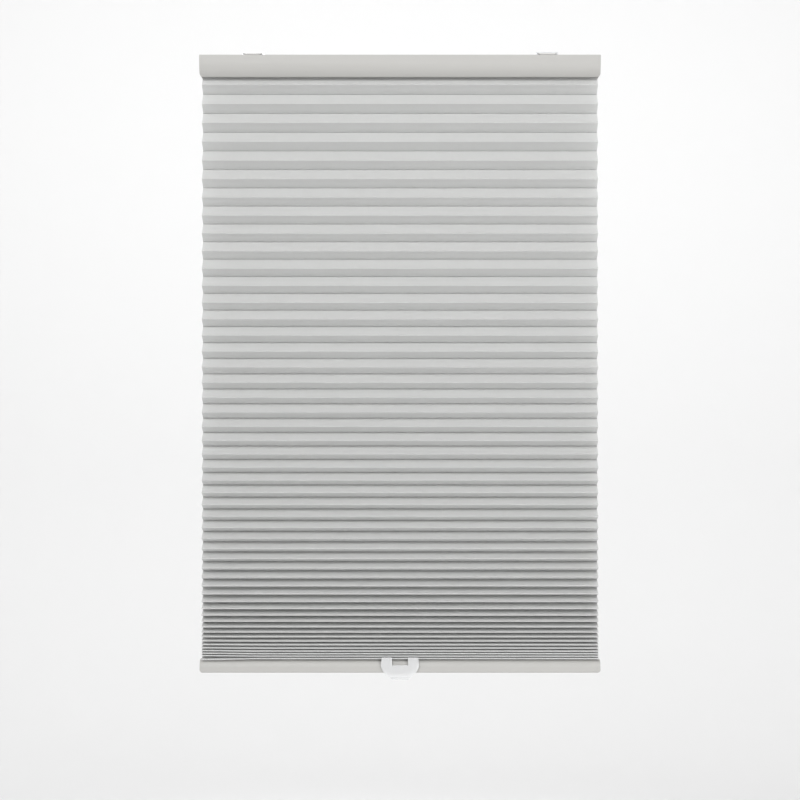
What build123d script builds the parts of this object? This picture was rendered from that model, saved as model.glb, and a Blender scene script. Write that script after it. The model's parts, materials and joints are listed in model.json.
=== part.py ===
from build123d import *
from math import exp, pi, sqrt
import os

# A cordless honeycomb blind, 24 by 36 inches. +X runs along the width, -Y faces the room, +Z is up.
# z = 0 is the face that the brackets are screwed to, and everything hangs below it. Millimetres.

# Overall sizes
blind_width = 600.0          # over the end caps of either rail
blind_drop = 924.0           # headrail top to the underside of the lowered bottom rail
fabric_inset = 3.0           # fabric end to headrail end
wall = 1.2                   # extruded rails
end_cap_length = 5.0
tenon_length = 8.0
tenon_height = 6.0
slack = 0.3                  # between pieces that slide
seat_gap = 0.1               # between pieces that are pushed together
running = 0.05               # radial, shaft in hole

# Headrail: an open channel with lips along the top and a fabric groove underneath
headrail_height = 31.2
headrail_depth = 52.0
headrail_flat = 11.0         # upright part of the front
headrail_sweep = 9.0         # how far the front curves back at the bottom
headrail_lip = 6.0
recess_depth = 4.9           # the first pleat is tucked up into the headrail
recess_width = 26.0
cap_top_round = 1.0
headrail_cap_round = 4.5

# Bottom rail
rail_height = 19.0
rail_depth = 43.2
rail_flat = 7.0              # upright part of the front and back
rail_sweep = 7.0             # how far they lean in at the top
rail_bottom_round = 2.0
rail_cap_round = 4.8

# Fabric carrier strips, an I-section held in each rail's groove
carrier_head_width = 10.0
carrier_head = 0.8
carrier_stem_width = 5.2
carrier_foot_width = 13.0
carrier_foot = 1.0

# Honeycomb fabric
cell_count = 50
face_length = 20.0           # glue line to crease
glue_width = 6.0
fabric_thickness = 0.3
closed_pitch = 0.6           # two thicknesses of cloth
end_relief = 2.7             # the carrier holds the last cells a little open
relief_cells = 2.2
sag_power = 1.48
crest_sag = 0.08             # share of the pitch that a crease hangs below mid-height
cord_hole_radius = 1.5

# Lift shaft, cord spools and cords
cord_spread = 380.0          # between the two lift cords
cord_radius = 0.5
wind_radius = 7.0            # shaft axis to the cord's middle
shaft_side = 4.5
shaft_overhang = 24.0        # past the middle of each spool
spool_flange_radius = 9.2
spool_flange = 1.5
spool_drum_length = 20.5
journal_radius = 4.4
cradle_plate = 2.4
cradle_front_tie = 3.0
cradle_back_tie = 1.8
grommet_radius = 3.5
grommet_neck = 1.9
grommet_bore = 1.0
grommet_flange = 1.0
knot_radius = 1.4

# Spring motor: an output drum on the shaft, and a storage drum on its own pin
drum_gap = 1.6
drum_flange_radius = 9.2
drum_flange = 1.0
output_hub_radius = 6.0
storage_hub_radius = 5.0
strip_length = 1100.0
strip_stored = 200.0         # length left on the storage drum with the blind down
strip_thickness = 0.1
strip_width = 22.0
motor_plate = 3.0
motor_middle_tie = 6.0
motor_back_tie = 1.8
motor_tie_width = 3.0
motor_cover_sheet = 1.0
motor_cover_skirt = 1.8
pin_radius = 2.0
pin_head_radius = 3.4
pin_head = 1.0
screw_radius = 0.9
screw_head_radius = 2.0
screw_head = 0.7
screw_length = 6.0

# Mounting brackets and their latches
bracket_spread = 440.0
bracket_width = 32.0
bracket_setback = 2.0        # from the headrail's front and back
bracket_height = 4.5
bracket_sheet = 1.6
bracket_foot = 1.1
bracket_foot_width = 2.5
screw_hole_radius = 2.1
screw_hole_spread = 14.0
hook_width = 20.0
hook_reach = 2.5
latch_sheet = 1.2
latch_back = 4.0            # the latch's back edge, in front of the bracket's middle
latch_notch_half = 5.5       # clears the front screw's head
latch_notch = 11.2

# Weight bar and cord anchors, inside the bottom rail
weight_inset = 20.0          # weight bar's end to rail's end
weight_width = 14.0
weight_height = 3.0
anchor_radius = 3.5
anchor_height = 2.5

# Lift handle, clipped over the middle of the bottom rail
handle_width = 57.5          # at its shoulders
handle_top_width = 54.5
handle_hip_width = 50.0
handle_foot_width = 25.0
handle_shoulder_drop = 13.0  # from the handle's top
handle_hip_drop = 22.0
handle_height = 32.0
handle_round = 6.0
handle_rise = 4.5            # above the rail's top
handle_notch = 23.7
handle_notch_depth = 11.6
handle_sheet = 2.1
handle_hook_sheet = 1.2
handle_hook_reach = 2.4      # past the rail's top edge
handle_rib_sheet = 1.4
handle_rib_drop = 13.0       # the rib that bears on the rail's front
handle_toe_sheet = 1.6
handle_toe_reach = 12.0
handle_lip = 3.0

# Widths, depths and heights that follow
fabric_width = blind_width - 2 * fabric_inset
weight_length = blind_width - 2 * weight_inset
shaft_length = cord_spread + 2 * shaft_overhang
bracket_depth = headrail_depth - 2 * bracket_setback
drum_spacing = 2 * drum_flange_radius + drum_gap
headrail_top = -bracket_height
headrail_bottom = headrail_top - headrail_height
rail_bottom = headrail_top - blind_drop
rail_top = rail_bottom + rail_height
fabric_top = headrail_bottom + recess_depth
fabric_bottom = rail_top + carrier_head
groove_lip_top = fabric_top + carrier_head + seat_gap + wall
groove_roof = groove_lip_top + seat_gap + carrier_foot + seat_gap
floor_top = groove_roof + wall
shaft_z = (floor_top + headrail_top - wall) / 2
shaft_y = wind_radius
storage_y = shaft_y - drum_spacing
rail_groove_floor = rail_top - wall - 2 * seat_gap - carrier_foot
cord_places = {"left": -cord_spread / 2, "right": cord_spread / 2}
bracket_places = {"left": -bracket_spread / 2, "right": bracket_spread / 2}
ends = {"left": -1, "right": 1}

os.makedirs("parts", exist_ok=True)


def save(node, shape):
    shape.label = node
    export_step(shape, "parts/" + node + ".step")


def rectangle(y0, y1, z0, z1):
    return Pos((y0 + y1) / 2, (z0 + z1) / 2) * Rectangle(y1 - y0, z1 - z0)


def centred(width, z0, z1):
    return rectangle(-width / 2, width / 2, *sorted([z0, z1]))


def along_x(section, x0, x1):
    """A section drawn as (y, z), run from x0 to x1."""
    return extrude(Plane.YZ.offset(x0) * section, x1 - x0)


def block(x0, x1, y0, y1, z0, z1):
    return Pos((x0 + x1) / 2, (y0 + y1) / 2, (z0 + z1) / 2) * Box(x1 - x0, y1 - y0, z1 - z0)


def rod_x(radius, x0, x1, y, z):
    return Pos((x0 + x1) / 2, y, z) * Rot(0, 90, 0) * Cylinder(radius, x1 - x0)


def rod_z(radius, x, y, z0, z1):
    return Pos(x, y, (z0 + z1) / 2) * Cylinder(radius, z1 - z0)


# Rails

def headrail_outline():
    front = -headrail_depth / 2
    back = headrail_depth / 2
    bend = headrail_top - headrail_flat
    drop = bend - headrail_bottom
    radius = (drop**2 + headrail_sweep**2) / (2 * headrail_sweep)
    middle = (front + radius - sqrt(radius**2 - drop**2 / 4), bend - drop / 2)
    upright = Line((front, headrail_top), (front, bend))
    curve = ThreePointArc((front, bend), middle, (front + headrail_sweep, headrail_bottom))
    rest = Polyline(curve @ 1, (back, headrail_bottom), (back, headrail_top), (front, headrail_top))
    return make_face([upright, curve, rest])


def rail_outline():
    """Front and back stand upright at the bottom and lean in towards the top."""
    half = rail_depth / 2
    bend = rail_bottom + rail_flat
    rise = rail_top - bend
    radius = (rise**2 + rail_sweep**2) / (2 * rail_sweep)
    middle = (-half + radius - sqrt(radius**2 - rise**2 / 4), bend + rise / 2)
    front = ThreePointArc((-half, bend), middle, (-half + rail_sweep, rail_top))
    back = ThreePointArc((half - rail_sweep, rail_top), (-middle[0], middle[1]), (half, bend))
    base = Polyline(back @ 1, (half, rail_bottom), (-half, rail_bottom), front @ 0)
    outline = make_face([front, Line(front @ 1, back @ 0), back, base])
    return fillet(outline.vertices().group_by(Axis.Y)[0], rail_bottom_round)


def cord_holes(radius, z0, z1):
    return [rod_z(radius, x, 0, z0, z1) for x in cord_places.values()]


def carrier_pocket(lip, mouth, roof):
    """Room for a carrier strip: a pocket for its foot, from lip to roof, and a slot open at mouth."""
    foot = carrier_foot_width / 2 + seat_gap
    stem = carrier_stem_width / 2 + seat_gap
    return centred(foot * 2, lip, roof) + centred(stem * 2, mouth, roof)


def headrail():
    outline = headrail_outline()
    half = headrail_depth / 2
    inner = recess_width / 2
    foot = carrier_foot_width / 2 + seat_gap
    mouth = groove_lip_top - wall
    section = outline - offset(outline, -wall)
    slot = half - headrail_lip
    section -= rectangle(-slot, slot, headrail_top - wall, headrail_top)
    section += rectangle(-inner - wall, inner + wall, headrail_bottom, floor_top)
    section -= rectangle(-inner, inner, headrail_bottom, mouth)
    section -= carrier_pocket(groove_lip_top, mouth, groove_roof)
    section -= rectangle(-inner, -foot - wall, groove_lip_top, groove_roof)
    section -= rectangle(foot + wall, inner, groove_lip_top, groove_roof)
    length = blind_width / 2 - end_cap_length
    holes = cord_holes(grommet_neck + seat_gap, groove_roof, floor_top)
    return along_x(section, -length, length) - holes


def bottom_rail():
    outline = rail_outline()
    foot = carrier_foot_width / 2 + seat_gap
    section = outline - offset(outline, -wall)
    section += rectangle(-foot - wall, foot + wall, rail_groove_floor - wall, rail_top)
    section -= carrier_pocket(rail_top - wall, rail_top, rail_groove_floor)
    length = blind_width / 2 - end_cap_length
    holes = cord_holes(cord_hole_radius, rail_groove_floor - wall, rail_groove_floor)
    return along_x(section, -length, length) - holes


def end_cap(side, outline, top, bottom, low_round, tenon):
    """The rail's own outline with its front corners rounded, and a tenon that enters the rail."""
    outer = blind_width / 2
    length = outer - end_cap_length
    plate = along_x(outline, length, outer)
    front = Pos(outer / 2, (top + bottom) / 2) * Rectangle(outer, top - bottom)
    corners = front.vertices().group_by(Axis.X)[-1].sort_by(Axis.Y)
    front = fillet(corners[0], low_round)
    front = fillet(front.vertices().group_by(Axis.Y)[-1].sort_by(Axis.X)[-1], cap_top_round)
    plate &= extrude(Plane.XZ * front, headrail_depth, both=True)
    cap = plate + tenon(length)
    if side < 0:
        cap = mirror(cap, Plane.YZ)
    return cap


def headrail_tenon(length):
    """Stands on the headrail's inner floor."""
    half = recess_width / 2
    return block(length - tenon_length, length, -half, half, floor_top, floor_top + tenon_height)


def headrail_end_cap(side):
    """Its inner face is cut away where the end of the first pleat reaches past the extrusion."""
    outline = headrail_outline()
    cap = end_cap(side, outline, headrail_top, headrail_bottom, headrail_cap_round, headrail_tenon)
    half = recess_width / 2
    reach = fabric_width / 2 + slack
    mouth = groove_lip_top - wall
    return cap - block(-reach, reach, -half, half, headrail_bottom, mouth)


def bottom_rail_end_cap(side):
    return end_cap(side, rail_outline(), rail_top, rail_bottom, rail_cap_round, rail_tenon)


def rail_tenon(length):
    """Lies between the groove and the rail's floor."""
    half = carrier_foot_width / 2
    low = rail_bottom + wall
    return block(length - tenon_length, length, -half, half, low, rail_groove_floor - wall - seat_gap)


def carrier(face, lip, direction):
    """An I-section strip. The fabric is bonded at face, and direction points from there into the rail."""
    foot_start = lip + direction * seat_gap
    foot_end = foot_start + direction * carrier_foot
    head = centred(carrier_head_width, face, face + direction * carrier_head)
    stem = centred(carrier_stem_width, face, foot_end)
    foot = centred(carrier_foot_width, foot_start, foot_end)
    length = fabric_width / 2 - end_cap_length
    strip = along_x(head + stem + foot, -length, length)
    return strip - cord_holes(cord_hole_radius, *sorted([face, foot_end]))


# Fabric: each cell is a six-sided tube. The top cells carry the rest, so they are pulled open most.

def pitches():
    shares = [1 - ((i + 0.5) / cell_count) ** sag_power for i in range(cell_count)]
    relief = [end_relief * exp((i + 1 - cell_count) / relief_cells) for i in range(cell_count)]
    length = fabric_top - fabric_bottom
    open_pitch = (length - cell_count * closed_pitch - sum(relief)) / sum(shares)
    return [closed_pitch + open_pitch * s + r for s, r in zip(shares, relief)]


def honeycomb_fabric():
    glue = glue_width / 2
    front = [(-glue, fabric_top)]
    cells = []
    z = fabric_top
    for pitch in pitches():
        depth = sqrt(face_length**2 - (pitch / 2) ** 2)
        crease = z - pitch * (0.5 + crest_sag)
        front += [(-glue - depth, crease), (-glue, z - pitch)]
        cells.append(cell_hollow(glue, depth, z, crease, z - pitch))
        z -= pitch
    back = [(-y, height) for y, height in reversed(front)]
    section = make_face(Polyline(front + back, close=True)) - cells
    fabric = along_x(section, -fabric_width / 2, fabric_width / 2)
    return fabric - cord_holes(cord_hole_radius, fabric_bottom, fabric_top)


def cell_hollow(glue, depth, top, crease, bottom):
    """The inside of one cell, a cloth's thickness in from its outline on every face."""
    upper = sqrt(depth**2 + (top - crease) ** 2)
    lower = sqrt(depth**2 + (crease - bottom) ** 2)
    ceiling = top - fabric_thickness
    floor = bottom + fabric_thickness
    upper_slope = (top - crease) / depth
    lower_slope = (crease - bottom) / depth
    upper_step = fabric_thickness * upper / depth
    lower_step = fabric_thickness * lower / depth
    # Each inner face is its outer face moved straight up or down, and its corners are where those cross.
    tip = depth - (upper_step + lower_step) / (upper_slope + lower_slope)
    tip_height = top - upper_slope * tip - upper_step
    high = max((upper_step - fabric_thickness) / -upper_slope, -glue)
    low = max((lower_step - fabric_thickness) / -lower_slope, -glue)
    right = [(glue + high, ceiling), (glue + tip, tip_height), (glue + low, floor)]
    left = [(-y, height) for y, height in reversed(right)]
    return make_face(Polyline(right + left, close=True))


# Lift cords and what they run on

def lift_cord(x):
    """Half a turn round the spool, then straight down through the cells to a knot under its anchor."""
    knot_z = rail_groove_floor - wall - anchor_height - knot_radius
    wound = CenterArc((0, 0), wind_radius, 0, 180)
    drop = Line((-wind_radius, 0), (-wind_radius, knot_z - shaft_z))
    path = Plane((x, shaft_y, shaft_z), x_dir=(0, 1, 0), z_dir=(1, 0, 0)) * Curve([wound, drop])
    start = Plane(origin=path @ 0, z_dir=path % 0)
    return sweep(start * Circle(cord_radius), path=path) + Pos(x, 0, knot_z) * Sphere(knot_radius)


def cord_spool(x):
    half = spool_drum_length / 2
    drum = rod_x(wind_radius - cord_radius - seat_gap, x - half, x + half, shaft_y, shaft_z)
    for side in (-1, 1):
        inside = x + side * half
        outside = inside + side * spool_flange
        end = outside + side * (cradle_plate + slack)
        drum += rod_x(spool_flange_radius, *sorted([inside, outside]), shaft_y, shaft_z)
        drum += rod_x(journal_radius, *sorted([inside, end]), shaft_y, shaft_z)
    return drum - shaft_bore(x, spool_drum_length)


def shaft_bore(x, length):
    side = shaft_side + 2 * running
    return Pos(x, shaft_y, shaft_z) * Box(length * 2, side, side)


def lift_shaft():
    return Pos(0, shaft_y, shaft_z) * Box(shaft_length, shaft_side, shaft_side)


def chord(radius, height):
    """How far a circle reaches sideways at a height above or below its middle."""
    return sqrt(max(radius**2 - height**2, 0))


def spool_cradle(x):
    """Two bearing plates, tied along the front and the back, so that the cord drops between the ties."""
    inside = spool_drum_length / 2 + spool_flange + slack
    outside = inside + cradle_plate
    front = -recess_width / 2
    back = recess_width / 2 + wall
    crown = shaft_z + journal_radius + cradle_plate
    front_tie_top = floor_top + cradle_front_tie
    back_tie_top = floor_top + cradle_back_tie
    flange_back = shaft_y + chord(spool_flange_radius + slack, shaft_z - back_tie_top)
    back_tie = max(back - cradle_plate, flange_back)
    ties = block(x - outside, x + outside, front, -grommet_radius - seat_gap, floor_top, front_tie_top)
    ties += block(x - outside, x + outside, back_tie, back, floor_top, back_tie_top)
    for side in (-1, 1):
        face = sorted([x + side * inside, x + side * outside])
        plate = block(face[0], face[1], front, back, floor_top, crown)
        ties += plate - rod_x(journal_radius + running, face[0], face[1], shaft_y, shaft_z)
    return ties


def cord_grommet(x):
    neck = rod_z(grommet_neck, x, 0, groove_roof, floor_top)
    flange = rod_z(grommet_radius, x, 0, floor_top, floor_top + grommet_flange)
    return neck + flange - rod_z(grommet_bore, x, 0, groove_roof, floor_top + grommet_flange)


def cord_anchor(x):
    top = rail_groove_floor - wall
    button = rod_z(anchor_radius, x, 0, top - anchor_height, top)
    return button - rod_z(cord_radius + seat_gap, x, 0, top - anchor_height, top)


# Spring motor

def coil_radius(hub_radius, length):
    return sqrt(hub_radius**2 + length * strip_thickness / pi)


def output_coil():
    return coil_radius(output_hub_radius, strip_length - strip_stored)


def storage_coil():
    return coil_radius(storage_hub_radius, strip_stored)


def ring(y, inner, outer):
    return Pos(y, shaft_z) * (Circle(outer) - Circle(inner))


def power_spring():
    """One steel strip: a coil on each drum, and a run from the top of one to the bottom of the other."""
    section = ring(shaft_y, output_hub_radius + seat_gap, output_coil() + seat_gap)
    section += ring(storage_y, storage_hub_radius + seat_gap, storage_coil() + seat_gap)
    lean = (output_coil() + storage_coil()) / drum_spacing
    rise = sqrt(1 - lean**2)
    start = Vector(shaft_y - lean * output_coil(), shaft_z + rise * output_coil())
    end = Vector(storage_y + lean * storage_coil(), shaft_z - rise * storage_coil())
    across = Vector(-lean, rise) * strip_thickness
    run = [start + across, start - across, end - across, end + across]
    section += make_face(Polyline(run, close=True))
    return along_x(section, -strip_width / 2, strip_width / 2)


def drum(y, hub, bore):
    half = strip_width / 2 + slack
    body = rod_x(hub, -half, half, y, shaft_z)
    for side in (-1, 1):
        outside = side * (half + drum_flange)
        body += rod_x(drum_flange_radius, *sorted([side * half, outside]), y, shaft_z)
    return body - bore


def output_drum():
    reach = motor_inside() + motor_plate
    body = drum(shaft_y, output_hub_radius, [])
    body += rod_x(journal_radius, -reach, reach, shaft_y, shaft_z)
    return body - shaft_bore(0, reach * 2)


def storage_drum():
    reach = motor_inside()
    bore = rod_x(pin_radius + running, -reach, reach, storage_y, shaft_z)
    return drum(storage_y, storage_hub_radius, bore)


def motor_inside():
    return strip_width / 2 + slack + drum_flange + slack


def motor_top():
    return shaft_z + drum_flange_radius + slack


def motor_frame():
    inside = motor_inside()
    outside = inside + motor_plate
    front = storage_y - drum_flange_radius
    back = shaft_y + drum_flange_radius
    base = recess_width / 2 + wall
    top = motor_top()
    corners = [(-base, floor_top), (front, shaft_z), (front, top), (back, top), (back, floor_top)]
    section = make_face(Polyline(corners, close=True))
    section -= Pos(shaft_y, shaft_z) * Circle(journal_radius + running)
    section -= Pos(storage_y, shaft_z) * Circle(pin_radius + running)
    frame = along_x(section, -outside, -inside) + along_x(section, inside, outside)
    tie = motor_tie_width / 2
    middle = screw_y()
    middle_top = floor_top + motor_middle_tie
    back_top = floor_top + motor_back_tie
    frame += block(-outside, outside, middle - tie, middle + tie, floor_top, middle_top)
    frame += block(-outside, outside, back - motor_back_tie, back, floor_top, back_top)
    for x in screw_places():
        frame -= rod_z(screw_radius, x, middle, top - screw_length, top)
    return frame


def screw_places():
    place = motor_inside() + motor_plate / 2
    return [-place, place]


def screw_y():
    return (storage_y + shaft_y) / 2


def motor_cover():
    """A plate between the headrail's lips, with a skirt at each long edge between the frame's plates."""
    outside = motor_inside() + motor_plate
    inside = motor_inside() - slack
    front = -headrail_depth / 2 + headrail_lip + slack
    back = shaft_y + drum_flange_radius
    top = motor_top() + motor_cover_sheet
    low = motor_top() - motor_cover_skirt
    cover = block(-outside, outside, front, back, motor_top(), top)
    cover += block(-inside, inside, front, front + motor_cover_sheet, low, top)
    cover += block(-inside, inside, back - motor_cover_sheet, back, low, top)
    for x in screw_places():
        cover -= rod_z(screw_radius + running, x, screw_y(), motor_top(), top)
    return cover


def motor_cover_screws():
    top = motor_top() + motor_cover_sheet
    screws = []
    for x in screw_places():
        shank = rod_z(screw_radius - running, x, screw_y(), top - screw_length, top)
        screws.append(shank + rod_z(screw_head_radius, x, screw_y(), top, top + screw_head))
    return Compound(screws)


def storage_drum_pin():
    reach = motor_inside() + motor_plate
    pin = rod_x(pin_radius, -reach, reach, storage_y, shaft_z)
    for side in (-1, 1):
        head = sorted([side * reach, side * (reach + pin_head)])
        pin += rod_x(pin_head_radius, *head, storage_y, shaft_z)
    return pin


# Mounting brackets

def mounting_bracket(x):
    """A sheet channel whose feet stand on the headrail's lips, with a fixed hook under the back lip."""
    half = bracket_width / 2
    front = -bracket_depth / 2
    back = bracket_depth / 2
    bracket = block(x - half, x + half, front, back, -bracket_sheet, 0)
    for side in (-1, 1):
        edge = x + side * half
        bracket += block(*sorted([edge, edge - side * bracket_sheet]), front, back, headrail_top, 0)
        foot = sorted([edge, edge - side * (bracket_sheet + bracket_foot_width)])
        bracket += block(foot[0], foot[1], front, back, headrail_top, headrail_top + bracket_foot)
    lip_edge = headrail_depth / 2 - headrail_lip
    bracket += hook(x, lip_edge - slack, lip_edge + hook_reach, 0)
    for y in (-screw_hole_spread / 2, screw_hole_spread / 2):
        bracket -= rod_z(screw_hole_radius, x, y, -bracket_sheet, 0)
    return bracket


def hook(x, leg, tip, top):
    """A leg that goes down past a lip's edge at y = leg, and a toe under the lip that ends at y = tip."""
    away = -1 if tip > leg else 1
    half = hook_width / 2
    toe_top = headrail_top - wall - slack
    toe_bottom = toe_top - bracket_sheet
    sides = sorted([leg, leg + away * bracket_sheet])
    shape = block(x - half, x + half, sides[0], sides[1], toe_bottom, top)
    toe = sorted([leg + away * bracket_sheet, tip])
    return shape + block(x - half, x + half, toe[0], toe[1], toe_bottom, toe_top)


def bracket_latch(x):
    """Slides inside the bracket's channel. Its toe holds the front lip until it is pushed back."""
    half = bracket_width / 2 - bracket_sheet - slack
    front = -headrail_depth / 2
    back = -latch_back
    top = -bracket_sheet - slack
    bottom = top - latch_sheet
    lip_edge = -headrail_depth / 2 + headrail_lip
    plate = block(x - half, x + half, front, back, bottom, top)
    finger = half - bracket_foot_width - slack
    plate += block(x - finger, x + finger, front, front + latch_sheet, headrail_top + slack, top)
    plate += hook(x, lip_edge + slack, lip_edge - hook_reach, top)
    notch = latch_notch_half
    return plate - block(x - notch, x + notch, back - latch_notch, back, bottom, top)


# Lift handle

def lift_handle():
    """One clear moulding: arms over the rail, a rib on its front, a toe below it and a finger lip."""
    back = -glue_width / 2 - face_length - slack
    front = back - handle_sheet
    rail_front = -rail_depth / 2
    top = rail_top + handle_rise
    low = top - handle_height
    profile = [(handle_top_width / 2, top), (handle_width / 2, top - handle_shoulder_drop)]
    profile += [(handle_hip_width / 2, top - handle_hip_drop), (handle_foot_width / 2, low)]
    other = [(-x, z) for x, z in reversed(profile)]
    shape = make_face(Polyline(profile + other, close=True))
    rounded = shape.vertices().filter_by(lambda v: v.Y < top - 1)
    shape = fillet(rounded, handle_round)
    shape -= Pos(0, top) * Rectangle(handle_notch, 2 * handle_notch_depth)
    handle = extrude(Plane.XZ.offset(-back) * shape, handle_sheet)
    for side in (-1, 1):
        arm = sorted([side * handle_notch / 2, side * handle_top_width / 2])
        reach = rail_front + rail_sweep + handle_hook_reach
        handle += block(arm[0], arm[1], back, reach, rail_top, rail_top + handle_hook_sheet)
    half = handle_hip_width / 2 - handle_round
    rib = top - handle_rib_drop
    rib_back = rail_front - seat_gap
    handle += block(-half, half, back, rib_back, rib - handle_rib_sheet, rib)
    toe = rail_bottom - seat_gap
    handle += block(-half, half, back, rail_front + handle_toe_reach, toe - handle_toe_sheet, toe)
    foot = handle_foot_width / 2
    return handle + block(-foot, foot, front - handle_lip, back, low, low + handle_sheet)


def weight_bar():
    half = weight_width / 2
    low = rail_bottom + wall
    return block(-weight_length / 2, weight_length / 2, -half, half, low, low + weight_height)


# The blind, piece by piece

save("headrail", headrail())
save("bottom_rail", bottom_rail())
for name, side in ends.items():
    save("headrail_end_cap_" + name, headrail_end_cap(side))
    save("bottom_rail_end_cap_" + name, bottom_rail_end_cap(side))
save("top_fabric_strip", carrier(fabric_top, groove_lip_top, 1))
save("bottom_fabric_strip", carrier(fabric_bottom, rail_top - wall, -1))
save("honeycomb_fabric", honeycomb_fabric())
save("lift_shaft", lift_shaft())
for name, x in cord_places.items():
    save("cord_spool_" + name, cord_spool(x))
    save("spool_cradle_" + name, spool_cradle(x))
    save("cord_grommet_" + name, cord_grommet(x))
    save("lift_cord_" + name, lift_cord(x))
    save("cord_anchor_" + name, cord_anchor(x))
save("output_drum", output_drum())
save("storage_drum", storage_drum())
save("storage_drum_pin", storage_drum_pin())
save("power_spring", power_spring())
save("motor_frame", motor_frame())
save("motor_cover", motor_cover())
save("motor_cover_screws", motor_cover_screws())
for name, x in bracket_places.items():
    save("mounting_bracket_" + name, mounting_bracket(x))
    save("bracket_latch_" + name, bracket_latch(x))
save("weight_bar", weight_bar())
save("lift_handle", lift_handle())
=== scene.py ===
import bpy
import json
import math
import random
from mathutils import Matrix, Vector


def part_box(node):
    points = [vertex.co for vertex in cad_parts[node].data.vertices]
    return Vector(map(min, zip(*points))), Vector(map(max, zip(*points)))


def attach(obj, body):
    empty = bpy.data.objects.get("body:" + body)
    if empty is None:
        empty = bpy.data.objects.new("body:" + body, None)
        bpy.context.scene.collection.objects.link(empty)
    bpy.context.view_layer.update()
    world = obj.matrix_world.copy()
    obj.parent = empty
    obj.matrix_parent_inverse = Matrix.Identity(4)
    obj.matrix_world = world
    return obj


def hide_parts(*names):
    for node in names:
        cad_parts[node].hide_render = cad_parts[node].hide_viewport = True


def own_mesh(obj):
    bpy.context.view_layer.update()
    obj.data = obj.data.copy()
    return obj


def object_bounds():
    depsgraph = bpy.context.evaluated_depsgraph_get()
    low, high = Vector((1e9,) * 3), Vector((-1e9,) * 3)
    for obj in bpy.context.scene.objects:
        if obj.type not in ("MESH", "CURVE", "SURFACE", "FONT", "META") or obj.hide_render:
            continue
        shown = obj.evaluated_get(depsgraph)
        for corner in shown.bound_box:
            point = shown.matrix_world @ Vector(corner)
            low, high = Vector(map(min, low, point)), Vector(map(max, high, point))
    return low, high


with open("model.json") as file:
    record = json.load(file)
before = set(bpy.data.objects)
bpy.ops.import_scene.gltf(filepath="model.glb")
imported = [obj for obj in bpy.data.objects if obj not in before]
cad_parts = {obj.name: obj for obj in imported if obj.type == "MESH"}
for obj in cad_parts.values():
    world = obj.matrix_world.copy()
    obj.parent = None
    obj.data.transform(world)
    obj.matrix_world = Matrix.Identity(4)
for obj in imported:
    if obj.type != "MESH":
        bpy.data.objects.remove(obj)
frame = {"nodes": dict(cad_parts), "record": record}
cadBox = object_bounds()
print("frame loaded:", len(frame["nodes"]), "CAD nodes")

mm = 0.001
slotOf = {row["node"]: row["material_slot"] for row in frame["record"]["subparts"]}
bodyOf = {node: body for body, nodes in frame["record"]["behaviour"]["bodies"].items() for node in nodes}


def deselectAll():
    if bpy.context.object and bpy.context.object.mode != "OBJECT":
        bpy.ops.object.mode_set(mode="OBJECT")
    bpy.ops.object.select_all(action="DESELECT")


def makeActive(piece):
    deselectAll()
    piece.select_set(True)
    bpy.context.view_layer.objects.active = piece


def rename(piece, name):
    piece.name = name
    piece.data.name = name
    return piece


def applyPlace(piece):
    makeActive(piece)
    bpy.ops.object.transform_apply(location=True, rotation=True, scale=True)


def applyModifier(piece, kind, **settings):
    makeActive(piece)
    modifier = piece.modifiers.new(kind.title(), kind)
    for key, value in settings.items():
        setattr(modifier, key, value)
    bpy.ops.object.modifier_apply(modifier=modifier.name)


def smooth(piece, degrees=35):
    makeActive(piece)
    bpy.ops.object.shade_smooth_by_angle(angle=math.radians(degrees))


def keepFlat(piece):
    # flat faces stay flat to the light beside their rounded edges
    applyModifier(piece, "WEIGHTED_NORMAL", weight=100, keep_sharp=True)


def turnFacesOut(piece):
    makeActive(piece)
    bpy.ops.object.mode_set(mode="EDIT")
    bpy.ops.mesh.select_all(action="SELECT")
    bpy.ops.mesh.normals_make_consistent(inside=False)
    bpy.ops.object.mode_set(mode="OBJECT")


def smoothStep(t):
    t = min(max(t, 0), 1)
    return t * t * (3 - 2 * t)


def finish(piece, body, slot, *nodes):
    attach(piece, body)
    if nodes:
        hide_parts(*nodes)
    piece.data.materials.clear()
    piece.data.materials.append(materialOf[slot])
    return piece


def newGroup(name, inputs, outputs):
    group = bpy.data.node_groups.new(name, "ShaderNodeTree")
    for title, kind, value in inputs:
        socket = group.interface.new_socket(title, in_out="INPUT", socket_type=kind)
        socket.default_value = value
    for title, kind in outputs:
        group.interface.new_socket(title, in_out="OUTPUT", socket_type=kind)
    start = group.nodes.new("NodeGroupInput")
    end = group.nodes.new("NodeGroupOutput")
    return group, start, end


def addMath(tree, operation, first, second):
    node = tree.nodes.new("ShaderNodeMath")
    node.operation = operation
    for socket, value in zip(node.inputs, (first, second)):
        if isinstance(value, (int, float)):
            socket.default_value = value
        else:
            tree.links.new(value, socket)
    return node.outputs[0]


def addNoise(tree, vector, scale, detail, roughness):
    node = tree.nodes.new("ShaderNodeTexNoise")
    node.inputs["Detail"].default_value = detail
    node.inputs["Roughness"].default_value = roughness
    tree.links.new(vector, node.inputs["Vector"])
    tree.links.new(scale, node.inputs["Scale"])
    return node.outputs["Fac"]


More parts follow.
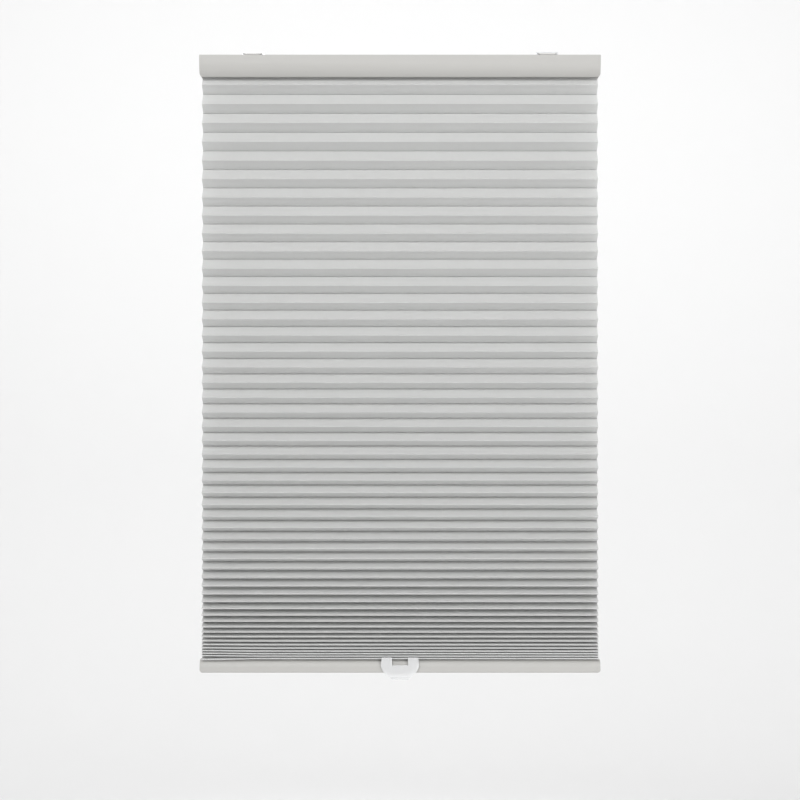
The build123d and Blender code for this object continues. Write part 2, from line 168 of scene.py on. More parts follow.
def makeDriftGroup():
    # slow unevenness of a colour, as any dyed, sprayed or moulded surface has
    group, start, end = newGroup(
        "colourDrift",
        [("Colour", "NodeSocketColor", (0.5, 0.5, 0.5, 1)), ("Strength", "NodeSocketFloat", 0.05),
         ("Scale", "NodeSocketFloat", 40.0)],
        [("Colour", "NodeSocketColor"), ("Mask", "NodeSocketFloat")])
    place = group.nodes.new("ShaderNodeTexCoord")
    mask = addNoise(group, place.outputs["Object"], start.outputs["Scale"], detail=4.0, roughness=0.6)
    centred = addMath(group, "SUBTRACT", mask, 0.5)
    strength = addMath(group, "MULTIPLY", centred, start.outputs["Strength"])
    factor = addMath(group, "ADD", strength, 1.0)
    tint = group.nodes.new("ShaderNodeVectorMath")
    tint.operation = "SCALE"
    group.links.new(start.outputs["Colour"], tint.inputs[0])
    group.links.new(factor, tint.inputs["Scale"])
    group.links.new(tint.outputs[0], end.inputs["Colour"])
    group.links.new(mask, end.inputs["Mask"])
    return group


def makeGrainGroup():
    # fine relief, drawn out along one direction where Stretch says so
    group, start, end = newGroup(
        "surfaceGrain",
        [("Scale", "NodeSocketFloat", 1000.0), ("Stretch", "NodeSocketVector", (1, 1, 1))],
        [("Height", "NodeSocketFloat")])
    place = group.nodes.new("ShaderNodeTexCoord")
    stretch = group.nodes.new("ShaderNodeVectorMath")
    stretch.operation = "MULTIPLY"
    group.links.new(place.outputs["Object"], stretch.inputs[0])
    group.links.new(start.outputs["Stretch"], stretch.inputs[1])
    height = addNoise(group, stretch.outputs[0], start.outputs["Scale"], detail=3.0, roughness=0.55)
    group.links.new(height, end.inputs["Height"])
    return group


driftGroup = makeDriftGroup()
grainGroup = makeGrainGroup()


def placeGroup(tree, group, **values):
    node = tree.nodes.new("ShaderNodeGroup")
    node.node_tree = group
    for title, value in values.items():
        node.inputs[title].default_value = value
    return node


plainFinish = {"roughDrift": 0.1, "stretch": (1, 1, 1), "reliefDepth": 0.1 * mm}   # where a finish names none


def newMaterial(name, finishValues):
    # drifting colour, roughness that follows the drift, and a fine relief
    material = bpy.data.materials.new(name)
    material.use_nodes = True
    tree = material.node_tree
    shader = tree.nodes["Principled BSDF"]
    drift = placeGroup(tree, driftGroup, Colour=(*finishValues["colour"], 1),
                       Strength=finishValues["drift"], Scale=finishValues["driftScale"])
    tree.links.new(drift.outputs["Colour"], shader.inputs["Base Color"])
    spread = finishValues.get("roughDrift", plainFinish["roughDrift"])
    rough = addMath(tree, "MULTIPLY", drift.outputs["Mask"], spread)
    base = finishValues["roughness"] - spread / 2
    tree.links.new(addMath(tree, "ADD", rough, base), shader.inputs["Roughness"])
    grain = placeGroup(tree, grainGroup, Scale=finishValues["grainScale"],
                       Stretch=finishValues.get("stretch", plainFinish["stretch"]))
    bump = tree.nodes.new("ShaderNodeBump")
    bump.inputs["Strength"].default_value = finishValues["relief"]
    bump.inputs["Distance"].default_value = finishValues.get("reliefDepth", plainFinish["reliefDepth"])
    tree.links.new(grain.outputs["Height"], bump.inputs["Height"])
    tree.links.new(bump.outputs["Normal"], shader.inputs["Normal"])
    for title, value in finishValues.get("shader", {}).items():
        shader.inputs[title].default_value = value
    return material, tree, bump


finishes = {
    "rail_enamel": {"colour": (0.450, 0.444, 0.428), "drift": 0.03, "driftScale": 9.0, "roughness": 0.50,
                    "grainScale": 700.0, "relief": 0.05, "shader": {"Specular IOR Level": 0.4}},
    "cap_plastic": {"colour": (0.446, 0.440, 0.424), "drift": 0.03, "driftScale": 30.0, "roughness": 0.52,
                    "grainScale": 3200.0, "relief": 0.10, "shader": {"Specular IOR Level": 0.4}},
    "strip_plastic": {"colour": (0.78, 0.78, 0.76), "drift": 0.05, "driftScale": 30.0, "roughness": 0.45,
                      "grainScale": 600.0, "relief": 0.08, "stretch": (0.02, 1, 1)},
    "grey_fabric": {"colour": (0.560, 0.564, 0.557), "drift": 0.05, "driftScale": 160.0, "roughness": 0.88,
                    "grainScale": 4200.0, "relief": 0.30, "reliefDepth": 0.15 * mm,
                    "shader": {"Sheen Weight": 0.12, "Sheen Roughness": 0.6, "Specular IOR Level": 0.25,
                               "Subsurface Weight": 0.5, "Subsurface Scale": 2.0 * mm,
                               "Subsurface Radius": (1.0, 1.0, 1.0)}},
    "shaft_steel": {"colour": (0.55, 0.56, 0.57), "drift": 0.10, "driftScale": 25.0, "roughness": 0.32,
                    "grainScale": 2600.0, "relief": 0.25, "stretch": (0.01, 1, 1),
                    "shader": {"Metallic": 1.0}},
    "acetal": {"colour": (0.56, 0.555, 0.54), "drift": 0.04, "driftScale": 60.0, "roughness": 0.38,
               "grainScale": 1500.0, "relief": 0.05},
    "cradle_plastic": {"colour": (0.42, 0.43, 0.44), "drift": 0.05, "driftScale": 60.0, "roughness": 0.48,
                       "grainScale": 2800.0, "relief": 0.12},
    "cord": {"colour": (0.62, 0.62, 0.60), "drift": 0.12, "driftScale": 900.0, "roughness": 0.8,
             "grainScale": 2400.0, "relief": 0.6, "reliefDepth": 0.3 * mm, "stretch": (1, 1, 0.45),
             "shader": {"Sheen Weight": 0.2}},
    "spring_steel": {"colour": (0.40, 0.42, 0.46), "drift": 0.12, "driftScale": 80.0, "roughness": 0.28,
                     "grainScale": 3000.0, "relief": 0.3, "stretch": (0.03, 1, 1),
                     "shader": {"Metallic": 1.0}},
    "bracket_zinc": {"colour": (0.62, 0.63, 0.64), "drift": 0.16, "driftScale": 120.0, "roughness": 0.36,
                     "grainScale": 900.0, "relief": 0.15, "stretch": (1, 0.15, 1),
                     "shader": {"Metallic": 1.0}},
    "weight_steel": {"colour": (0.10, 0.10, 0.105), "drift": 0.3, "driftScale": 90.0, "roughness": 0.5,
                     "grainScale": 1200.0, "relief": 0.3, "stretch": (0.05, 1, 1),
                     "shader": {"Metallic": 0.7}},
    "clear_plastic": {"colour": (0.92, 0.925, 0.93), "drift": 0.01, "driftScale": 60.0, "roughness": 0.16,
                      "roughDrift": 0.04, "grainScale": 220.0, "relief": 0.04,
                      "shader": {"Transmission Weight": 0.44, "IOR": 1.49}},
}
braid = {"strands": 4, "depth": 0.05 * mm}               # relief on the cords
coilLayers = {"thickness": 0.1 * mm, "depth": 0.03 * mm}   # relief on the power spring's coils


def addBraid(tree, bump):
    # strands crossing both ways round the cord, on its own map
    place = tree.nodes.new("ShaderNodeTexCoord")
    split = tree.nodes.new("ShaderNodeSeparateXYZ")
    tree.links.new(place.outputs["UV"], split.inputs[0])
    around = addMath(tree, "MULTIPLY", split.outputs["X"], braid["strands"])
    crossings = []
    for operation in ("ADD", "SUBTRACT"):
        turn = addMath(tree, operation, around, split.outputs["Y"])
        crossings.append(addMath(tree, "SINE", addMath(tree, "MULTIPLY", turn, 2 * math.pi), 0))
    height = addMath(tree, "MULTIPLY", *crossings)
    weave = tree.nodes.new("ShaderNodeBump")
    weave.inputs["Distance"].default_value = braid["depth"]
    tree.links.new(height, weave.inputs["Height"])
    tree.links.new(weave.outputs["Normal"], bump.inputs["Normal"])


def addCoilLayers(tree, bump):
    # the edges of the wound strip, as rings about whichever drum is nearer
    centres = [(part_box(node)[0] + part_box(node)[1]) / 2 for node in ("storage_drum", "output_drum")]
    place = tree.nodes.new("ShaderNodeTexCoord")
    split = tree.nodes.new("ShaderNodeSeparateXYZ")
    tree.links.new(place.outputs["Object"], split.inputs[0])
    aside = addMath(tree, "SUBTRACT", split.outputs["Y"], (centres[0].y + centres[1].y) / 2)
    aside = addMath(tree, "SUBTRACT", addMath(tree, "ABSOLUTE", aside, 0), (centres[1].y - centres[0].y) / 2)
    above = addMath(tree, "SUBTRACT", split.outputs["Z"], centres[0].z)
    squares = [addMath(tree, "MULTIPLY", reach, reach) for reach in (aside, above)]
    radius = addMath(tree, "SQRT", addMath(tree, "ADD", *squares), 0)
    turn = addMath(tree, "MULTIPLY", radius, 2 * math.pi / coilLayers["thickness"])
    rings = addMath(tree, "SINE", turn, 0)
    layers = tree.nodes.new("ShaderNodeBump")
    layers.inputs["Distance"].default_value = coilLayers["depth"]
    tree.links.new(rings, layers.inputs["Height"])
    tree.links.new(layers.outputs["Normal"], bump.inputs["Normal"])


extraRelief = {"cord": addBraid, "spring_steel": addCoilLayers}
materialOf = {}
for slotName, values in finishes.items():
    materialOf[slotName], tree, bump = newMaterial(slotName.replace("_", " "), values)
    if slotName in extraRelief:
        extraRelief[slotName](tree, bump)
print("materials:", len(materialOf))


view = {"distance": 2.2, "eyeBelowTop": 0.5202, "lens": 66.3, "sensor": 36.0, "farthest": 60.0}
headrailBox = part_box("headrail")


def makeCamera():
    front = headrailBox[0].y
    bpy.ops.object.camera_add(location=(0, front - view["distance"], cadBox[1].z - view["eyeBelowTop"]),
                              rotation=(math.pi / 2, 0, 0))
    camera = bpy.context.object
    camera.name = "camera"
    camera.data.lens = view["lens"]
    camera.data.sensor_width = view["sensor"]
    camera.data.clip_end = view["farthest"]
    bpy.context.scene.camera = camera


blindMiddle = (0, 0, -0.45)
lights = {
    "key": {"place": (-1.3, -4.9, 2.9), "aim": blindMiddle, "size": 3.0, "power": 180.0},
    "fill": {"place": (1.7, -3.2, -0.7), "aim": blindMiddle, "size": 1.8, "power": 46.0},
    "back": {"place": (0.6, 3.0, 1.3), "aim": blindMiddle, "size": 2.0, "power": 60.0},
    "backdrop": {"place": (0, 1.6, 2.2), "aim": (0, 7.0, -0.6), "size": 2.5, "power": 180.0},
}
studioWorld = {"colour": (1, 1, 1, 1), "strength": 0.56}


def makeLights():
    for name, row in lights.items():
        place = Vector(row["place"])
        bpy.ops.object.light_add(type="AREA", location=place)
        light = bpy.context.object
        light.name = name + "_light"
        light.rotation_euler = (Vector(row["aim"]) - place).to_track_quat("-Z", "Y").to_euler()
        light.data.shape = "DISK"
        light.data.size = row["size"]
        light.data.energy = row["power"]
    world = bpy.data.worlds.new("studio")
    world.use_nodes = True
    background = world.node_tree.nodes["Background"]
    background.inputs["Color"].default_value = studioWorld["colour"]
    background.inputs["Strength"].default_value = studioWorld["strength"]
    bpy.context.scene.world = world
    bpy.context.scene.view_settings.view_transform = "Standard"


stageSizes = {"floor": -2.5, "radius": 7.0, "wall": 4.0, "corner": 1.6, "sides": 96, "cornerSteps": 12,
              "smoothBelow": 40, "colour": (0.74, 0.74, 0.74), "roughness": 0.9}


def makeStage():
    # a pale floor that curves up all round into a low wall
    deselectAll()
    corner = stageSizes["corner"]
    reach = stageSizes["radius"] - corner
    bpy.ops.mesh.primitive_circle_add(vertices=stageSizes["sides"], radius=reach, fill_type="NGON",
                                      location=(0, 0, stageSizes["floor"]))
    stage = rename(bpy.context.object, "studio_floor")
    bpy.ops.object.mode_set(mode="EDIT")
    bpy.ops.mesh.select_mode(type="EDGE")
    bpy.ops.mesh.select_all(action="SELECT")
    bpy.ops.mesh.region_to_loop()
    turn = math.pi / 2 / stageSizes["cornerSteps"]
    for step in range(1, stageSizes["cornerSteps"] + 1):
        angle = turn * step
        wanted = stageSizes["radius"] - corner + corner * math.sin(angle)
        rise = corner * (math.cos(angle - turn) - math.cos(angle))
        bpy.ops.mesh.extrude_edges_move(TRANSFORM_OT_translate={"value": (0, 0, rise)})
        bpy.ops.transform.resize(value=(wanted / reach, wanted / reach, 1))
        reach = wanted
    bpy.ops.mesh.extrude_edges_move(TRANSFORM_OT_translate={"value": (0, 0, stageSizes["wall"])})
    bpy.ops.mesh.select_all(action="SELECT")
    bpy.ops.mesh.normals_make_consistent(inside=True)
    bpy.ops.object.mode_set(mode="OBJECT")
    applyPlace(stage)
    smooth(stage, stageSizes["smoothBelow"])
    material = bpy.data.materials.new("studio paper")
    material.use_nodes = True
    shader = material.node_tree.nodes["Principled BSDF"]
    shader.inputs["Base Color"].default_value = (*stageSizes["colour"], 1)
    shader.inputs["Roughness"].default_value = stageSizes["roughness"]
    stage.data.materials.append(material)


makeCamera()
makeLights()
makeStage()
print("camera, lights and stage ready")


cord = {
    "diameter": 1.0 * mm,
    "sides": 12,
    "braidPitch": 1.6 * mm,      # length of one crossing of the strands
    "turns": 3,                  # left on the spool with the blind down
    "turnPitch": 1.05 * mm,
    "turnPoints": 12,            # control points in each turn
    "turnSmooth": 6,             # points made from each control point
    "dropSmooth": 40,
    "tuckDepth": 1.6 * mm,       # how far the inner end goes down into the spool
    "knotSize": 0.33 * mm,       # a third of the way from its middle to its outermost strand
    "knotHeight": 1.6,           # how far the knot's strands pass over each other, in knot sizes
    "knotPoints": 36,
    "pathSteps": 20,             # of the drop's centre line
    "smoothBelow": 60,           # degrees between two faces
}
cordNodes = {"left": "lift_cord_left", "right": "lift_cord_right"}


def alongSpline(controlPoints, closed=False, resolution=cord["turnSmooth"]):
    # points on the smooth curve that these control points give
    curve = bpy.data.curves.new("route", "CURVE")
    curve.dimensions = "3D"
    spline = curve.splines.new("NURBS")
    spline.points.add(len(controlPoints) - 1)
    for point, place in zip(spline.points, controlPoints):
        point.co = (*place, 1)
    spline.order_u = 3
    spline.use_endpoint_u = not closed
    spline.use_cyclic_u = closed
    curve.resolution_u = resolution
    route = bpy.data.objects.new("route", curve)
    bpy.context.scene.collection.objects.link(route)
    line = bpy.data.meshes.new_from_object(route)
    points = [vertex.co.copy() for vertex in line.vertices]
    bpy.data.objects.remove(route)
    bpy.data.meshes.remove(line)
    return points


def tubeAlong(points, radius, closed=False):
    # a round cord on these points, with a map that runs round it and along it
    sides = cord["sides"]
    count = len(points)
    rings = []
    normal = None
    for i, point in enumerate(points):
        before = points[i - 1] if i or closed else point
        after = points[(i + 1) % count] if i < count - 1 or closed else point
        direction = (after - before).normalized()
        if normal is None:
            normal = direction.orthogonal()
        normal = (normal - direction * normal.dot(direction)).normalized()
        across = direction.cross(normal)
        angles = [2 * math.pi * side / sides for side in range(sides)]
        rings.append([point + (normal * math.cos(a) + across * math.sin(a)) * radius for a in angles])
    spans = count if closed else count - 1
    faces = []
    marks = []
    travelled = 0
    for i in range(spans):
        step = (points[(i + 1) % count] - points[i]).length / cord["braidPitch"]
        for side in range(sides):
            after = (side + 1) % sides
            following = (i + 1) % count * sides
            faces.append((i * sides + side, i * sides + after, following + after, following + side))
            u0, u1 = side / sides, (side + 1) / sides
            marks += [(u0, travelled), (u1, travelled), (u1, travelled + step), (u0, travelled + step)]
        travelled += step
    if not closed:
        faces += [tuple(reversed(range(sides))), tuple(range((count - 1) * sides, count * sides))]
        marks += [(0, 0)] * (2 * sides)
    mesh = bpy.data.meshes.new("cord")
    mesh.from_pydata([vertex for ring in rings for vertex in ring], [], faces)
    layer = mesh.uv_layers.new(name="cordMap")
    for loop, mark in zip(layer.data, marks):
        loop.uv = mark
    piece = bpy.data.objects.new("cord", mesh)
    bpy.context.scene.collection.objects.link(piece)
    turnFacesOut(piece)
    smooth(piece, cord["smoothBelow"])
    return piece


def windRoute(side, top, axisPlace):
    # from the top of the drop round the spool, outwards along it, and down into it
    outward = -1 if side == "left" else 1
    steps = cord["turnPoints"]
    control = (axisPlace.y - top.y) / math.cos(math.pi / steps)
    places = [top.copy()]
    for i in range(cord["turns"] * steps + 1):
        angle = math.pi - 2 * math.pi * (i + 0.5) / steps
        across = outward * cord["turnPitch"] * (i + 0.5) / steps
        places.append(Vector((top.x + across, axisPlace.y + control * math.cos(angle),
                              axisPlace.z + control * math.sin(angle))))
    radial = Vector((0, places[-1].y - axisPlace.y, places[-1].z - axisPlace.z)).normalized()
    return places + [places[-1] - radial * cord["tuckDepth"]]


def knotRoute(middle):
    # a trefoil
    places = []
    for i in range(cord["knotPoints"]):
        t = 2 * math.pi * i / cord["knotPoints"]
        loop = Vector((math.sin(t) + 2 * math.sin(2 * t), math.cos(t) - 2 * math.cos(2 * t),
                       -math.sin(3 * t) * cord["knotHeight"]))
        places.append(middle + loop * cord["knotSize"])
    return places


def makeCord(side, node):
    # turns on the spool, the straight drop through the cells, and the knot under its anchor
    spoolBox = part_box("cord_spool_" + side)
    axisPlace = (spoolBox[0] + spoolBox[1]) / 2
    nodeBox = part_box(node)
    radius = cord["diameter"] / 2
    knotReach = (nodeBox[1].x - nodeBox[0].x) / 2
    top = Vector(((nodeBox[0].x + nodeBox[1].x) / 2, nodeBox[0].y + knotReach, axisPlace.z))
    end = Vector((top.x, top.y, nodeBox[0].z + knotReach))
    drop = tubeAlong(alongSpline([top, (top + end) / 2, end], resolution=cord["dropSmooth"]), radius)
    turns = tubeAlong(alongSpline(windRoute(side, top, axisPlace)), radius)
    knot = tubeAlong(alongSpline(knotRoute(end), closed=True), radius, closed=True)
    finish(rename(drop, f"lift_cord_drop_{side}"), "headrail_body", "cord", node)
    finish(rename(turns, f"lift_cord_turns_{side}"), "headrail_body", "cord", node)
    finish(rename(knot, f"lift_cord_knot_{side}"), "bottom_rail_body", "cord", node)
    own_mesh(drop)


for side, node in cordNodes.items():
    makeCord(side, node)
print("lift cords ready")


fabric = {
    "cells": 50,
    "faceLength": 20 * mm,       # glue line to crease
    "glueWidth": 6 * mm,
    "thickness": 0.3 * mm,
    "closedPitch": 0.6 * mm,     # two thicknesses of cloth
    "endRelief": 2.7 * mm,       # the lower carrier holds the last cells a little open
    "reliefCells": 2.2,          # how many cells that reaches up
    "sagPower": 1.48,            # how the cells close towards the bottom
    "creaseSag": 0.08,           # share of the pitch that a crease hangs below mid-height
    "creaseRadius": 0.4 * mm,    # where the cell hangs open
    "closedRadius": 1.1 * mm,    # a nearly closed cell is rounder at its crease
    "radiusShare": 0.25,         # of the pitch, at most
    "bendShare": 0.30,           # how far a face bends level again at its glue line and its crease
    "endCrowding": 0.056,        # how much closer a face's steps lie at its ends than in its middle
    "faceSteps": 7,              # in a face, from glue line to crease
    "creaseSteps": 4,
    "widthSteps": 54,            # along the blind
    "cordHole": 1.5 * mm,
    "glueGap": 0.01 * mm,        # from a cell's cloth to the glue line's middle
    "clothShare": 0.1,           # of the pitch, at most, for the cloth's thickness
    "smoothBelow": 50,           # degrees between two faces
    "lastKeep": 0.97,            # the last cell rests on the handle's hooks, so it closes no further
    "seed": 41,
}
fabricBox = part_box("honeycomb_fabric")
cordPlaces = [(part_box(node)[0].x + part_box(node)[1].x) / 2 for node in cordNodes.values()]


def cellPitches():
    # the top cells carry the rest, so they are pulled open most
    count = fabric["cells"]
    shares = [1 - ((i + 0.5) / count) ** fabric["sagPower"] for i in range(count)]
    relief = [fabric["endRelief"] * math.exp((i + 1 - count) / fabric["reliefCells"]) for i in range(count)]
    drop = fabricBox[1].z - fabricBox[0].z
    opened = (drop - count * fabric["closedPitch"] - sum(relief)) / sum(shares)
    return [fabric["closedPitch"] + opened * share + extra for share, extra in zip(shares, relief)]


def bentFace(start, end, steps):
    # from the glue line to the crease: nearly flat, but leaving both ends a little more level
    points = []
    for step in range(steps + 1):
        t = step / steps
        t -= fabric["endCrowding"] * math.sin(2 * math.pi * t)
        bent = t + fabric["bendShare"] * (smoothStep(t) - t)
        points.append((start[0] + (end[0] - start[0]) * t, start[1] + (end[1] - start[1]) * bent))
    return points


def cellOutline(top, bottom):
    # one side of a cell from its upper glue line to its lower one, in (depth, height)
    pitch = top - bottom
    glue = fabric["glueWidth"] / 2
    openness = min(pitch / fabric["faceLength"], 1)
    roundest = fabric["closedRadius"] + (fabric["creaseRadius"] - fabric["closedRadius"]) * openness
    radius = min(roundest, pitch * fabric["radiusShare"])
    depth = math.sqrt(fabric["faceLength"] ** 2 - (pitch / 2) ** 2)
    crease = top - pitch * (0.5 + fabric["creaseSag"])
    end = 1 - fabric["bendShare"]
    upperLean = math.atan2((top - crease) * end, depth)
    lowerLean = math.atan2((crease - bottom) * end, depth)
    middle = (glue + depth - radius, crease)
    firstAngle = math.pi / 2 - upperLean
    lastAngle = -math.pi / 2 + lowerLean
    arc = []
    for step in range(fabric["creaseSteps"] + 1):
        angle = firstAngle + (lastAngle - firstAngle) * step / fabric["creaseSteps"]
        arc.append((middle[0] + radius * math.cos(angle), middle[1] + radius * math.sin(angle)))
    gap = fabric["glueGap"]
    upper = bentFace((glue, top - gap), arc[0], fabric["faceSteps"])
    lower = bentFace((glue, bottom + gap), arc[-1], fabric["faceSteps"])
    return upper[:-1] + arc + lower[-2::-1]


def waves(generator, shortest, longest, count=4):
    # a gentle unevenness along the blind, between -1 and 1
    rows = [(generator.uniform(shortest, longest), generator.uniform(0, 2 * math.pi)) for _ in range(count)]
    return lambda x: sum(math.sin(2 * math.pi * x / length + phase) for length, phase in rows) / count


sway = {
    "crease": 0.04 * mm,         # up and down of a crease along the blind, where the cells hang open
    "share": 0.05,               # the same as a share of the room between two creases, where they are closed
    "looseShare": 0.03,          # and what the loose lower cells add to that
    "creaseWaves": (0.25, 0.9),  # shortest and longest wave, in metres
    "line": 0.4 * mm,            # up and down of a glue line in the loose lower cells
    "lineWaves": (0.5, 1.3),
    "depth": 0.12 * mm,          # in and out of a crease
    "depthWaves": (0.2, 0.8),
    "creasePower": 1.6,          # how sharply a face's sway grows from its glue line to its crease
    "looseCells": 9,             # counted from the bottom
    "endRise": 0.9 * mm,         # the loose cells ride up at the left end
    "endLength": 90 * mm,
    "lastDroop": 1.5 * mm,       # and the last one droops there
}


def lineSway(wave, line, x):
    # glue lines are straight, except the loose ones just above the bottom rail
    fromEnd = fabric["cells"] - line
    loose = smoothStep((sway["looseCells"] - fromEnd) / sway["looseCells"]) * smoothStep(fromEnd / 2)
    return sway["line"] * loose * wave(x)


def widthStations(halfWidth):
    # evenly along the blind, and close on both sides of each cord's hole
    steps = fabric["widthSteps"]
    hole = fabric["cordHole"]
    stations = [-halfWidth + 2 * halfWidth * i / steps for i in range(steps + 1)]
    for place in cordPlaces:
        stations = [x for x in stations if abs(x - place) > 2 * hole] + [place - hole, place + hole]
    return sorted(stations)


def cellRing(side):
    # right round a cell: down the front, along the lower glue line, up the back, and along the upper one
    hole = fabric["cordHole"]
    ring = [(-depth, height) for depth, height in side]
    ring += [(-hole, side[-1][1]), (hole, side[-1][1])]
    ring += [(depth, height) for depth, height in reversed(side)]
    return ring + [(hole, side[0][1]), (-hole, side[0][1])]


def cellVertices(generator, index, top, bottom, side, stations, lineWave):
    # the ring at each station, moved by the cloth's unevenness
    count = fabric["cells"]
    pitch = top - bottom
    reach = side[len(side) // 2][0]
    ring = cellRing(side)
    last = index == count - 1
    loose = smoothStep((index + 1 - count + sway["looseCells"]) / sway["looseCells"])
    room = max(pitch - 2 * fabric["creaseRadius"], 0)
    amount = min(sway["crease"], room * sway["share"]) + loose * room * sway["looseShare"]
    creaseWaves = {facing: waves(generator, *sway["creaseWaves"]) for facing in (-1, 1)}
    depthWaves = {facing: waves(generator, *sway["depthWaves"]) for facing in (-1, 1)}
    vertices = []
    for x in stations:
        upperSway = lineSway(lineWave, index, x)
        lowerSway = lineSway(lineWave, index + 1, x)
        leftEnd = smoothStep((stations[0] - x + sway["endLength"]) / sway["endLength"])
        endShift = -sway["lastDroop"] * leftEnd if last else sway["endRise"] * leftEnd * loose
        for y, z in ring:
            facing = -1 if y < 0 else 1
            share = min(abs(y) / reach, 1) ** sway["creasePower"]
            down = (top - z) / pitch
            height = z + upperSway * (1 - down) + lowerSway * down
            height += share * (amount * creaseWaves[facing](x) + endShift)
            depth = y + facing * share * sway["depth"] * (depthWaves[facing](x) - 1) / 2
            vertices.append((x, depth, height))
    return vertices


def cellFaces(stations, sideSize, size):
    # a strip of faces between two stations, open where the cord goes through the glue lines
    faces = []
    for column in range(len(stations) - 1):
        middle = (stations[column] + stations[column + 1]) / 2
        punched = any(abs(middle - place) < fabric["cordHole"] for place in cordPlaces)
        for row in range(size):
            if punched and row in (sideSize, size - 2):
                continue
            a = column * size + row
            b = column * size + (row + 1) % size
            faces.append((a, b, b + size, a + size))
    return faces


def makeCell(name, vertices, faces, thickness):
    mesh = bpy.data.meshes.new(name)
    mesh.from_pydata(vertices, [], faces)
    cell = bpy.data.objects.new(name, mesh)
    bpy.context.scene.collection.objects.link(cell)
    turnFacesOut(cell)
    applyModifier(cell, "SOLIDIFY", thickness=thickness, offset=-1)
    smooth(cell, fabric["smoothBelow"])
    return finish(cell, "headrail_body", "grey_fabric", "honeycomb_fabric")


def makeFabric():
    generator = random.Random(fabric["seed"])
    pitches = cellPitches()
    levels = [fabricBox[1].z]
    for pitch in pitches:
        levels.append(levels[-1] - pitch)
    stations = widthStations(fabricBox[1].x)
    lineWave = waves(generator, *sway["lineWaves"])
    cells = []
    for index, (top, bottom) in enumerate(zip(levels, levels[1:])):
        pitch = top - bottom
        side = cellOutline(top, bottom)
        vertices = cellVertices(generator, index, top, bottom, side, stations, lineWave)
        faces = cellFaces(stations, len(side), len(vertices) // len(stations))
        thickness = min(fabric["thickness"], pitch * fabric["clothShare"])
        cell = makeCell(f"honeycomb_cell_{index + 1:02d}", vertices, faces, thickness)
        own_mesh(cell)
        cells.append(cell)
    return cells


cells = makeFabric()
triangles = sum(len(face.vertices) - 2 for face in cells[0].data.polygons)
print("fabric cells:", len(cells), "triangles each:", triangles)


edges = {                        # how far each node's sharp edges are rounded
    "headrail": 0.25 * mm, "bottom_rail": 0.25 * mm,
    "headrail_end_cap_left": 0.35 * mm, "headrail_end_cap_right": 0.35 * mm,
    "bottom_rail_end_cap_left": 0.35 * mm, "bottom_rail_end_cap_right": 0.35 * mm,
    "top_fabric_strip": 0.10 * mm, "bottom_fabric_strip": 0.10 * mm,
    "lift_handle": 0.45 * mm, "weight_bar": 0.30 * mm, "lift_shaft": 0.30 * mm,
    "cord_spool_left": 0.25 * mm, "cord_spool_right": 0.25 * mm,
    "spool_cradle_left": 0.25 * mm, "spool_cradle_right": 0.25 * mm,
    "cord_grommet_left": 0.15 * mm, "cord_grommet_right": 0.15 * mm,
    "cord_anchor_left": 0.20 * mm, "cord_anchor_right": 0.20 * mm,
    "output_drum": 0.20 * mm, "storage_drum": 0.20 * mm, "storage_drum_pin": 0.20 * mm,
    "motor_frame": 0.30 * mm, "motor_cover": 0.25 * mm,
    "mounting_bracket_left": 0.30 * mm, "mounting_bracket_right": 0.30 * mm,
    "bracket_latch_left": 0.25 * mm, "bracket_latch_right": 0.25 * mm,
}


edging = {
    "merge": 0.002 * mm,
    "flatBelow": 0.6,            # degrees between two faces that are one flat face
    "sharpAbove": 40,            # degrees between two faces whose edge is rounded
    "smoothBelow": 32,
    "segments": 2,
}


def edgedCopy(node, width):
    # the CAD node's own mesh, with its sharp edges rounded as moulding, rolling and deburring leave them
    name = node + "_finished"
    piece = bpy.data.objects.new(name, frame["nodes"][node].data.copy())
    bpy.context.scene.collection.objects.link(piece)
    rename(piece, name)
    makeActive(piece)
    bpy.ops.object.mode_set(mode="EDIT")
    bpy.ops.mesh.select_all(action="SELECT")
    bpy.ops.mesh.remove_doubles(threshold=edging["merge"])
    bpy.ops.mesh.dissolve_limited(angle_limit=math.radians(edging["flatBelow"]))
    bpy.ops.object.mode_set(mode="OBJECT")
    applyModifier(piece, "BEVEL", width=width, segments=edging["segments"], limit_method="ANGLE",
                  angle_limit=math.radians(edging["sharpAbove"]), use_clamp_overlap=True)
    smooth(piece, edging["smoothBelow"])
    keepFlat(piece)
    return finish(piece, bodyOf[node], slotOf[node], node)


for node, width in edges.items():
    edgedCopy(node, width)
print("edged pieces:", len(edges))


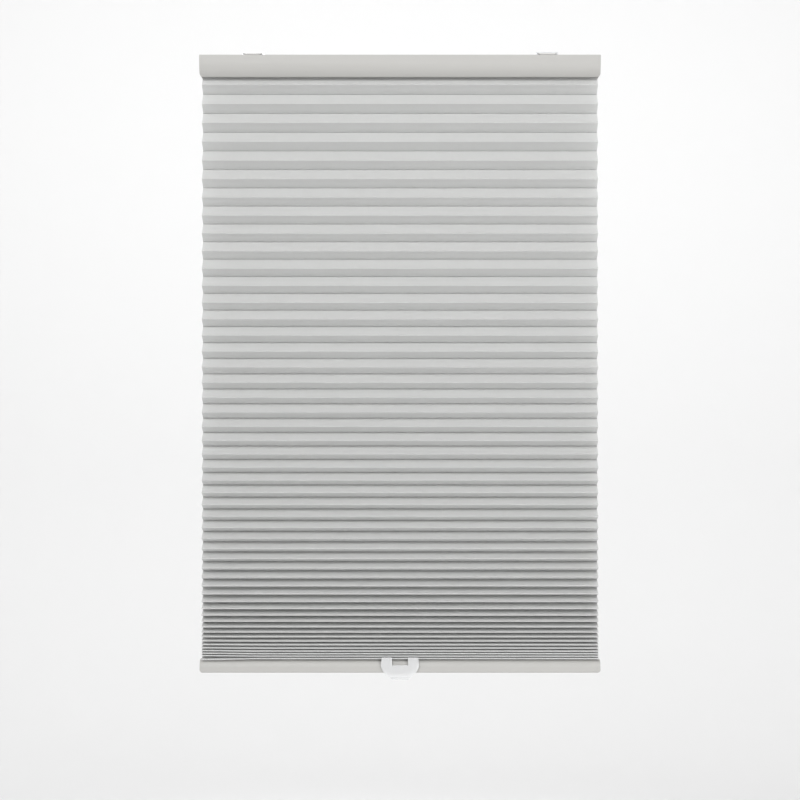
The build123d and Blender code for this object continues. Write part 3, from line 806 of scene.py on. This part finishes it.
screw = {
    "headRadius": 2.0 * mm, "head": 0.7 * mm, "headSides": 48, "headRimSteps": 3,
    "shankRadius": 0.85 * mm, "shankSides": 24, "shankRimSteps": 2,
    "rim": 0.22 * mm,            # rounding of the head's rim and the shank's end
    "slotLength": 2.3 * mm, "slotWidth": 0.55 * mm, "slotDepth": 0.45 * mm,
}


def roundedBar(x, y, bottom, top, radius, sides, rimSteps):
    deselectAll()
    bpy.ops.mesh.primitive_cylinder_add(vertices=sides, radius=radius, depth=top - bottom,
                                        location=(x, y, (top + bottom) / 2))
    bar = bpy.context.object
    applyPlace(bar)
    applyModifier(bar, "BEVEL", width=screw["rim"], segments=rimSteps, limit_method="ANGLE")
    return bar


def makeCoverScrew(name, x, y, top, bottom):
    # a pan head with a cross recess, on a plain shank
    seat = top - screw["head"]
    head = roundedBar(x, y, seat, top, screw["headRadius"], screw["headSides"], screw["headRimSteps"])
    for turn in (0, math.pi / 2):
        deselectAll()
        bpy.ops.mesh.primitive_cube_add(size=1, location=(x, y, top))
        cutter = bpy.context.object
        cutter.scale = (screw["slotLength"], screw["slotWidth"], 2 * screw["slotDepth"])
        cutter.rotation_euler.z = turn
        applyPlace(cutter)
        applyModifier(head, "BOOLEAN", operation="DIFFERENCE", object=cutter, solver="EXACT")
        bpy.data.objects.remove(cutter)
    shank = roundedBar(x, y, bottom, seat, screw["shankRadius"], screw["shankSides"], screw["shankRimSteps"])
    makeActive(head)
    shank.select_set(True)
    bpy.ops.object.join()
    rename(head, name)
    smooth(head)
    keepFlat(head)
    return finish(head, bodyOf["motor_cover_screws"], "shaft_steel", "motor_cover_screws")


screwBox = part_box("motor_cover_screws")
screwPlaces = {"left": screwBox[0].x + screw["headRadius"], "right": screwBox[1].x - screw["headRadius"]}
for side, x in screwPlaces.items():
    makeCoverScrew("motor_cover_screw_" + side, x, (screwBox[0].y + screwBox[1].y) / 2,
                   screwBox[1].z, screwBox[0].z)
print("cover screws ready")


for node, source in frame["nodes"].items():    # what no new piece replaces
    if not source.hide_render:
        source.data.materials.clear()
        source.data.materials.append(materialOf[slotOf[node]])
        print("kept CAD node:", node)
